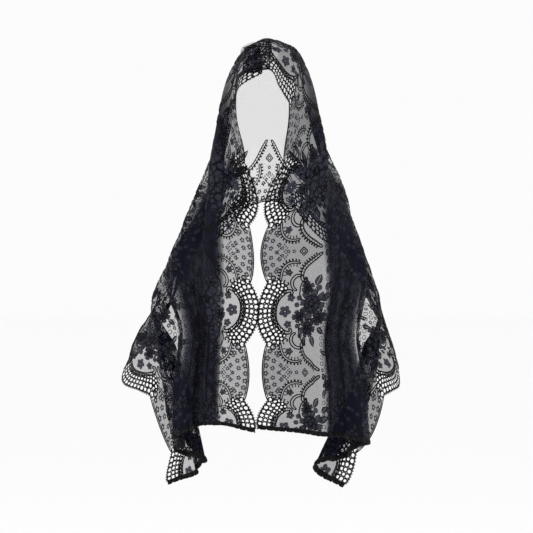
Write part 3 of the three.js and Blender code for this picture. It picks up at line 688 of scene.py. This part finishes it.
def plate(chart, outline, centre, rim=0.3, crown=0.9):
    """A filled shape that swells a little from its rim to its middle."""
    outline = np.asarray(outline, float)
    centre = np.asarray(centre, float)
    n = len(outline)
    inner = centre + (outline - centre) * 0.55
    points = np.vstack([
        np.column_stack([outline, np.full(n, rim)]),
        np.column_stack([inner, np.full(n, crown)]),
        [[centre[0], centre[1], crown * 0.9]],
    ])
    k = np.arange(n)
    m = (k + 1) % n
    quads = np.stack([k, m, n + m, n + k], axis=1)
    fan = np.stack([n + k, n + m, np.full(n, 2 * n), np.full(n, 2 * n)], axis=1)
    chart.draw(points, np.vstack([quads, fan]))


def lobes(centre, radius, turn=0.0, count=3, depth=0.12, sides=14, stretch=1.0):
    """A round outline with a wavy rim, longer along its own direction."""
    a = np.arange(sides) * 2 * math.pi / sides
    r = radius * (1 - depth + depth * np.cos(count * a) ** 2)
    return turned(centre, turn, r * np.cos(a) * stretch, r * np.sin(a))


def leaf(repeat, foot, turn, length, width):
    """A leaf in two halves with a light slit between them, edged with a thread."""
    t = np.linspace(0, 1, 6)
    half = width / 2 * np.sin(math.pi * t ** 0.8) ** 0.85
    for side in (1, -1):
        near = turned(foot, turn, t * length, np.minimum(0.35, half) * side)
        far = turned(foot, turn, t * length, half * side)
        outline = np.vstack([near, far[-2:0:-1]])[::side]
        plate(repeat.flowers, outline, outline.mean(axis=0), rim=0.25, crown=0.6)
    right = turned(foot, turn, t * length, -half)
    left = turned(foot, turn, t * length, half)
    cord(repeat.threads, np.vstack([right, left[-2:0:-1]]), EDGING_THREAD, height=0.8, closed=True)


def flower(repeat, centre, radius, petals, turn):
    """A small open flower: round petals about a light eye with a ring."""
    size = radius * 2.1 / petals
    for k in range(petals):
        a = turn + 2 * math.pi * k / petals
        reach = radius - size
        middle = (centre[0] + reach * math.cos(a), centre[1] + reach * math.sin(a))
        petal = lobes(middle, size, a, count=2, depth=0.08, sides=10, stretch=1.12)
        plate(repeat.flowers, petal, middle, rim=0.4, crown=1.0)
    ring(repeat.threads, centre, radius * 0.2, sides=7, width=EDGING_THREAD, height=1.2)


def daisy(repeat, centre, radius, turn):
    """Five dark dots close round a light eye."""
    for k in range(5):
        a = turn + math.pi * 0.4 * k
        dot = (centre[0] + radius * 0.64 * math.cos(a), centre[1] + radius * 0.64 * math.sin(a))
        plate(repeat.flowers, lobes(dot, radius * 0.4, sides=7, depth=0), dot, rim=0.4, crown=1.0)


def rose(repeat, centre, radius, turn, petals):
    """A full rose: broad wavy petals on a plain ground, a second ring over them and a rolled heart."""
    under = lobes(centre, radius * 0.66, turn, count=petals / 2, depth=0.1, sides=6 * petals)
    plate(repeat.flowers, under, centre, rim=0.15, crown=0.3)
    outer_ring = (radius, petals, 0.5, 0.5, turn)
    inner_ring = (radius * 0.54, 5, 0.42, 1.1, turn + 0.5)
    for reach, count, foot, rise, first_turn in (outer_ring, inner_ring):
        for k in range(count):
            t = np.linspace(-1, 1, 9)
            spread = math.pi / count * (0.8 + 0.07 * math.sin(2.7 * k + radius))
            angle = first_turn + 2 * math.pi * k / count + spread * t
            waves = 0.07 * np.cos(3 * math.pi * t) + 0.07 * math.sin(1.9 * k)
            far = reach * (0.9 + waves - 0.16 * t ** 6)
            near = reach * foot * (1 - 0.12 * np.cos(math.pi * t[::2]))
            back = first_turn + 2 * math.pi * k / count - spread * t[::2]
            outline = np.vstack([
                np.stack([far * np.cos(angle), far * np.sin(angle)], axis=1),
                np.stack([near * np.cos(back), near * np.sin(back)], axis=1),
            ]) + np.asarray(centre, float)
            plate(repeat.flowers, outline, outline.mean(axis=0), rise, rise + 0.5)
            cord(repeat.threads, outline, width=0.8, height=rise + 0.7, closed=True)
    roll = np.linspace(0, 1, 14)
    a = turn + roll * 3.2 * math.pi
    r = radius * (0.22 - 0.16 * roll)
    heart = np.stack([centre[0] + r * np.cos(a), centre[1] + r * np.sin(a)], axis=1)
    cord(repeat.threads, heart, EDGING_THREAD, height=1.6)


# The medallion over each deep scallop: open flowers along the scroll, and a dense bunch of roses.
medallion = Repeat(REPEATS)
for centre, radius, turn in (
    ((29, 45), 8.6, 0.3), ((1, 33), 12.5, 0.5), ((-26, 40), 8.4, 0.9), ((82, 44), 8.0, 0.4),
    ((-82, 44), 8.0, 0.4),
):
    flower(medallion, centre, radius, 5, turn)
for side in (1, -1):
    daisy(medallion, (side * 90, 21), 4.4, 0.3)
for foot, turn, length, width in (
    ((22, 112), 1.2, 26, 15), ((-10, 116), 1.75, 26, 15), ((-50, 96), 2.7, 24, 14),
    ((52, 100), 0.5, 24, 13), ((-52, 78), 3.3, 20, 12), ((54, 80), -0.2, 18, 11),
    ((42, 120), 0.9, 20, 11), ((-34, 112), 2.1, 22, 12),
):
    leaf(medallion, foot, turn, length, width)
for centre, radius, turn, petals in (
    ((14, 92), 33, 0.2, 8), ((-34, 86), 22, 0.8, 7), ((-10, 64), 16, 0.4, 6), ((48, 82), 15, 0.1, 6),
    ((-14, 112), 17, 0.1, 6),
):
    rose(medallion, centre, radius, turn, petals)
for a, d, radius in ((-30, 60, 6), (14, 57, 6), (28, 62, 6.5), (46, 106, 7), (-50, 66, 6)):
    plate(medallion.flowers, lobes((a, d), radius, 0.6, depth=0.16, sides=10), (a, d))
light_leaf = smooth_path([(15, 84), (22, 88), (23, 95), (17, 98), (11, 94), (11, 87)], 2, closed=True)
cord(medallion.threads, light_leaf, width=1.1, height=1.7, closed=True)

# The field between the medallions and the cloth's middle, below the hood alone: loose roses, each with
# three leaves, and small rings and daisies all over.
FIELD_ROSES = (
    (-34, 160, 17, 0.3), (28, 150, 16, 0.9), (62, 190, 15, 0.5), (-4, 212, 17, 0.1),
    (-72, 214, 15, 0.7), (-90, 152, 13, 0.2), (100, 138, 13, 0.4), (108, 228, 13, 0.8),
)
SPOTS_ALONG, SPOTS_INWARD = np.arange(-119, 122, 13), np.arange(126, 249, 11.5)
field = Repeat(FIELD_REPEATS)
for a, d, radius, turn in FIELD_ROSES:
    rose(field, (a, d), radius, turn, 6)
    for k in range(3):
        way = 4 * turn + 2.1 * k
        foot = (a + radius * 0.9 * math.cos(way), d + radius * 0.9 * math.sin(way))
        leaf(field, foot, way, 16, 8.5)
for n, d in enumerate(SPOTS_INWARD):
    for k, a in enumerate(SPOTS_ALONG):
        spot = np.array((a + (6.5 if n % 2 else 0), d))
        if min(np.hypot(spot[0] - b, spot[1] - c) - radius for b, c, radius, _ in FIELD_ROSES) > 5:
            if (n + k) % 3:
                ring(field.threads, spot, 4.4, sides=7, width=0.7, height=0.6, turn=0.4 * k)
            else:
                daisy(field, spot, 4.6, 0.5 * k)

# The line between two repeats: daisies along the shallow scallop, dotted chequers, and a small lozenge
# where the scrolls meet.
between = Repeat(LINES_BETWEEN)
daisy(between, (0, -5), 5.8, 0.35)
for a, d, radius in (
    (16, -4, 5.8), (31, -0.5, 5.8), (45, 5, 5.6), (58, 12, 5.2), (10, 9, 5.0), (25, 12, 5.2), (40, 18, 5.2),
):
    for side in (1, -1):
        daisy(between, (side * a, d), radius, 0.35 * side)
for nearest in (22, 37):
    for k in range(-5, 6):
        spot = (3.6 * k, nearest + 3.4 * abs((k + 6) % 4 - 2))
        plate(between.flowers, lobes(spot, 2.1, math.pi / 4, sides=4, depth=0), spot)
for spot in ((0, 21), (-8, 33), (8, 33), (0, 46), (-15, 27), (15, 27), (0, 58)):
    daisy(between, spot, 4.2, 0.2)
for size, width in ((8.6, 1.3), (4.2, 1.1)):
    corners = np.array([(size, 78), (0, 78 + size), (-size, 78), (0, 78 - size)])
    lozenge = np.vstack([np.linspace(corners[k], corners[(k + 1) % 4], 4)[:-1] for k in range(4)])
    cord(between.threads, lozenge, width, height=0.9, closed=True)

# The cloth's own middle line, drawn once and not once for each edge: a flower with four leaves.
middle = Repeat(REPEATS, both_edges=False)
flower(middle, (0, WIDTH / 2), 9, 6, 0.3)
for k in range(4):
    turn = math.pi / 2 * k + math.pi / 4
    leaf(middle, (8.5 * math.cos(turn), WIDTH / 2 + 8.5 * math.sin(turn)), turn, 13, 7)

# Satin stitch in black silk-like thread: a little softer than the outlines, with a drift of tone over about 8
# mm, and a little lighter than them as painted sheen, where its many parallel threads catch the light. The
# threads of 0.3 mm are too fine to show, so they are drawn 1.3 mm apart. A little light comes through between
# them.
STITCH_PITCH, STITCH_SHARE, STITCH_COVER, STITCH_MORE = 1.3, 0.62, 0.84, 0.12
worked, tree, shader = new_material("satin_stitched_thread", {
    "Roughness": 0.6, "IOR": 1.53, "Specular IOR Level": 0.08, "Sheen Weight": 0.03,
})
stitches = slanted_net(tree, STITCH_PITCH, STITCH_SHARE)
patches = {"Vector": cloth_place(tree, 1000.0), "Scale": 0.12, "Detail": 4.0}
drift = add(tree, "ShaderNodeTexNoise", patches).outputs[0]
# Painted sheen: these tones are lighter than the other threads' for the light the satin stitch catches.
tones = {0: drift, 6: colour("#191a24"), 7: colour("#2e2f3c")}
tone = add(tree, "ShaderNodeMix", tones, data_type="RGBA").outputs[2]
tree.links.new(tone, shader.inputs["Base Color"])
covers_by = {0: stitches, 1: STITCH_MORE, 2: STITCH_COVER}
cover = add(tree, "ShaderNodeMath", covers_by, operation="MULTIPLY_ADD")
tree.links.new(cover.outputs[0], shader.inputs["Alpha"])
ridges = {"Strength": 0.6, "Distance": 0.0005, "Height": stitches}
tree.links.new(add(tree, "ShaderNodeBump", ridges).outputs[0], shader.inputs["Normal"])
repeats = (medallion, between, middle, field)
front_and_back(
    "worked_flowers", [(r.flowers, r.centres, r.both_edges) for r in repeats], worked)

# The outline threads are a heavier twisted black thread, run on last: along the whole scalloped edge, in
# pairs with rungs along the scrolls, and round each flower and leaf. They stand about 1 mm proud.


def double_cord(chart, path, gap, width, height):
    """Two threads that run side by side along a path and close round its ends."""
    side = sides_of(path)
    reach = gap / 2 * (0.62 + 0.38 * np.sin(math.pi * np.linspace(0, 1, len(path))) ** 0.5)
    left, right = path + side * reach[:, None], path - side * reach[:, None]
    caps = []
    for end, other in ((-1, -2), (0, 1)):
        way = path[end] - path[other]
        way /= np.linalg.norm(way)
        normal = np.array([-way[1], way[0]])
        caps.append([
            path[end] + reach[end] * (normal * math.cos(a) + way * math.sin(a))
            for a in np.linspace(0, math.pi, 6)[1:-1]
        ])
    cord(chart, np.vstack([left, caps[0], right[::-1], caps[1]]), width, height, closed=True)


def rungs(chart, path, spacing, near, far, width, height):
    """Short threads across a path, from near to far on its left side."""
    length = run_along(path)
    side = sides_of(path)
    for s in np.arange(spacing / 2, length[-1], spacing):
        centre, away = at_length(s, length, path), at_length(s, length, side)
        cord(chart, np.array([centre + away * near, centre + away * far]), width, height)


def on(side, *points):
    """Flat points given for one half of the repeat, on that side of its middle."""
    return np.array([(side * a, d) for a, d in points], float)


threads = medallion.threads
edge = np.array([(a, -scallop(a + PITCH / 2)) for a in np.linspace(-PITCH / 2, PITCH / 2, 101)])
cord(threads, edge, width=1.3, height=1.0)
scroll_half = ((15, 13.6), (29, 20), (38, 29), (43, 38), (43.5, 43.5), (40, 47), (36, 44.5))
scroll = smooth_path(np.vstack([on(-1, *scroll_half[::-1]), [(0, 12)], on(1, *scroll_half)]), 2.4)
double_cord(threads, scroll, gap=6.4, width=1.6, height=1.2)
for side in (1, -1):
    second_edge = [(a, 3.2 - scallop(a + PITCH / 2)) for a in np.linspace(64, PITCH / 2, 21)]
    cord(threads, on(side, *second_edge), width=1.0, height=0.7)
    small = [(45, 55), (48, 51), (53, 48.5), (61, 48), (70, 53), (75, 61), (75, 69)]
    double_cord(threads, smooth_path(on(side, *small), 2.4), gap=5.8, width=1.4, height=1.1)
    hook = [(68, 80), (64.5, 79), (63, 74), (67, 70.5), (76, 71), (87, 75.5), (98, 86), (107, 99), (118, 115)]
    hooked = smooth_path(on(side, *hook), 2.6)
    double_cord(threads, hooked, gap=6.4, width=1.5, height=1.2)
    rungs(threads, hooked[8:], spacing=6.2, near=-2.6, far=2.6, width=0.8, height=0.9)
    rungs(threads, hooked[10:-3], spacing=6.0, near=-4.2 * side, far=-8.6 * side, width=1.9, height=1.1)
    fan = smooth_path(on(side, (64, 25), (79, 28), (91, 33), (99, 41.5), (103, 55), (101, 68)), 2.6)
    double_cord(threads, fan, gap=4.6, width=1.2, height=1.0)
    rungs(threads, fan[1:], spacing=6.0, near=-3.2 * side, far=-7.4 * side, width=1.9, height=1.1)
    rungs(threads, fan[4:], spacing=8.0, near=3.6 * side, far=9.0 * side, width=1.2, height=0.8)
    roll = np.linspace(0, 1, 16)
    reach, angle = 1.2 + 6.4 * roll, 5.4 * roll + 0.4
    curl = np.stack([side * (60 + reach * np.cos(angle)), 38 + reach * np.sin(angle)], axis=1)
    cord(threads, curl, width=1.5, height=1.0)
    stem = smooth_path(on(side, (66, 76), (58, 68), (46, 64), (34, 63), (24, 66)), 3)
    cord(threads, stem, width=1.5, height=0.9)

# Twisted rayon gimp, dyed black: the darkest of the threads, matt and round, so the eye reads the scrolls as
# crisp lines. Its twist is drawn as coarse as the net thread's.
outline_thread = thread_material("twisted_rayon_gimp", "#09090d", "#040405", roughness=0.6, sheen=0.02)
front_and_back(
    "outline_threads", [(r.threads, r.centres, r.both_edges) for r in repeats], outline_thread)

# The ruffled trims close the two short ends: a thick soft black braid, gathered on its own thread until it
# ruffles, and sewn over the raw edge of the tulle from scallop to scallop.

# The braid's steps, its hold on the tulle and its ruffles, in millimetres. BRAID is its section, by (share
# of the way out, height), and CAP the faces that close its ends.
TRIM_STEP, OVERLAP, FREE_EDGE, RUFFLE_REACH, RUFFLE_LIFT = 1.4, 1.5, 1.0, 2.0, 1.8
RUFFLE, SMALL_RUFFLE, GATHER_SPACING, BRAID_THICKNESS = 13.5, 7.9, 6.7, 1.5
BRAID = ((0, 0.7), (0.35, 1.5), (0.75, 1.7), (1, 0.8), (1, -0.8), (0.75, -1.7), (0.35, -1.5), (0, -0.7))
CAP = np.array([(0, 1, 2, 3), (0, 3, 4, 7), (4, 5, 6, 7)])

# Woven cotton braid, dyed black and gathered: duller and a little softer than the threads, with a faint
# bloom where its ruffles turn to the light.
braid = thread_material("gathered_cotton_braid", "#0e0e12", "#050507", roughness=0.75, sheen=0.06)
for side, name in ((-1, "left"), (1, "right")):
    v = np.arange(-scallop(HALF - HEM), WIDTH + scallop(HALF - HEM) + 0.1, TRIM_STEP)
    ruffle = np.sin(2 * math.pi * v / RUFFLE) + 0.5 * np.sin(2 * math.pi * v / SMALL_RUFFLE + 1)
    gathers = 0.85 + 0.25 * np.cos(2 * math.pi * v / GATHER_SPACING)
    section = []
    for t, up in BRAID:
        u = HALF - HEM - OVERLAP + t * (HEM + OVERLAP + FREE_EDGE + RUFFLE_REACH * ruffle)
        height = BRAID_THICKNESS * up * gathers + RUFFLE_LIFT * t * ruffle
        section.append(np.column_stack([side * u, v, height]))
    points = np.stack(section, axis=1).reshape(-1, 3)
    corners = len(BRAID)
    near = corners * np.arange(len(v) - 1)
    far = near + corners
    faces = []
    for c in range(corners):
        d = (c + 1) % corners
        faces.append(np.stack([near + c, far + c, far + d, near + d], axis=1))
    faces = np.vstack([*faces, CAP[:, ::-1], CAP + corners * (len(v) - 1)])
    make_piece("ruffled_trim_" + name, points, faces[:, ::-side], braid, "hem_trim_" + name)

# The floor is a sheet of matt pale paper, rolled out wide and well under the veil, so that no edge of it
# shows and no shadow lies near.
FLOOR_REACH, FLOOR_HEIGHT = 60.0, -1.35
paper, tree, shader = new_material("matt_pale_paper", {"Base Color": colour("#fefefe"), "Roughness": 0.9})
mesh = bpy.data.meshes.new("floor")
sides = ((-1, -1), (1, -1), (1, 1), (-1, 1))
corners = [(x * FLOOR_REACH, y * FLOOR_REACH, FLOOR_HEIGHT) for x, y in sides]
mesh.from_pydata(corners, [], [(0, 1, 2, 3)])
mesh.materials.append(paper)
floor = bpy.data.objects.new("floor", mesh)
bpy.context.scene.collection.objects.link(floor)

# The light is plain and soft: a white room all round, a broad lamp at the front left and a weaker one at
# the front right. The tulle lies many layers deep, so light has to pass many of them.
LAYERS = 48


def soft_lamp(name, place, target, size, power):
    """A round lamp of this size in metres, turned to its target."""
    light = bpy.data.lights.new(name, "AREA")
    light.shape = "DISK"
    light.size = size
    light.energy = power
    lamp = bpy.data.objects.new(name, light)
    lamp.location = place
    lamp.rotation_euler = (Vector(target) - Vector(place)).to_track_quat("-Z", "Y").to_euler()
    bpy.context.scene.collection.objects.link(lamp)


soft_lamp("key_light", (-2.2, -3.6, 1.8), (0, 0, -0.4), 2.2, 60)
soft_lamp("fill_light", (2.8, -3.2, 0.6), (0, 0, -0.5), 2.6, 30)
world = bpy.data.worlds.new("soft_room")
world.use_nodes = True
world.node_tree.nodes["Background"].inputs[0].default_value = colour("#ffffff")
world.node_tree.nodes["Background"].inputs[1].default_value = 0.97
bpy.context.scene.world = world
bpy.context.scene.cycles.transparent_max_bounces = LAYERS
bpy.context.scene.view_settings.view_transform = "Standard"

# The camera is level with the middle of the fall and far off, so the veil has little perspective, and the
# view is as wide as the photograph's at the veil.
SENSOR, DISTANCE, VIEW_WIDTH = 36.0, 8.0, 1.09
camera = bpy.data.cameras.new("camera")
camera.sensor_width = SENSOR
camera.lens = SENSOR * DISTANCE / VIEW_WIDTH
camera.clip_end = 120
eye = bpy.data.objects.new("camera", camera)
eye.location = (-0.006, -8.02, -0.467)
eye.rotation_euler = (math.pi / 2, 0, 0)
bpy.context.scene.collection.objects.link(eye)
bpy.context.scene.camera = eye
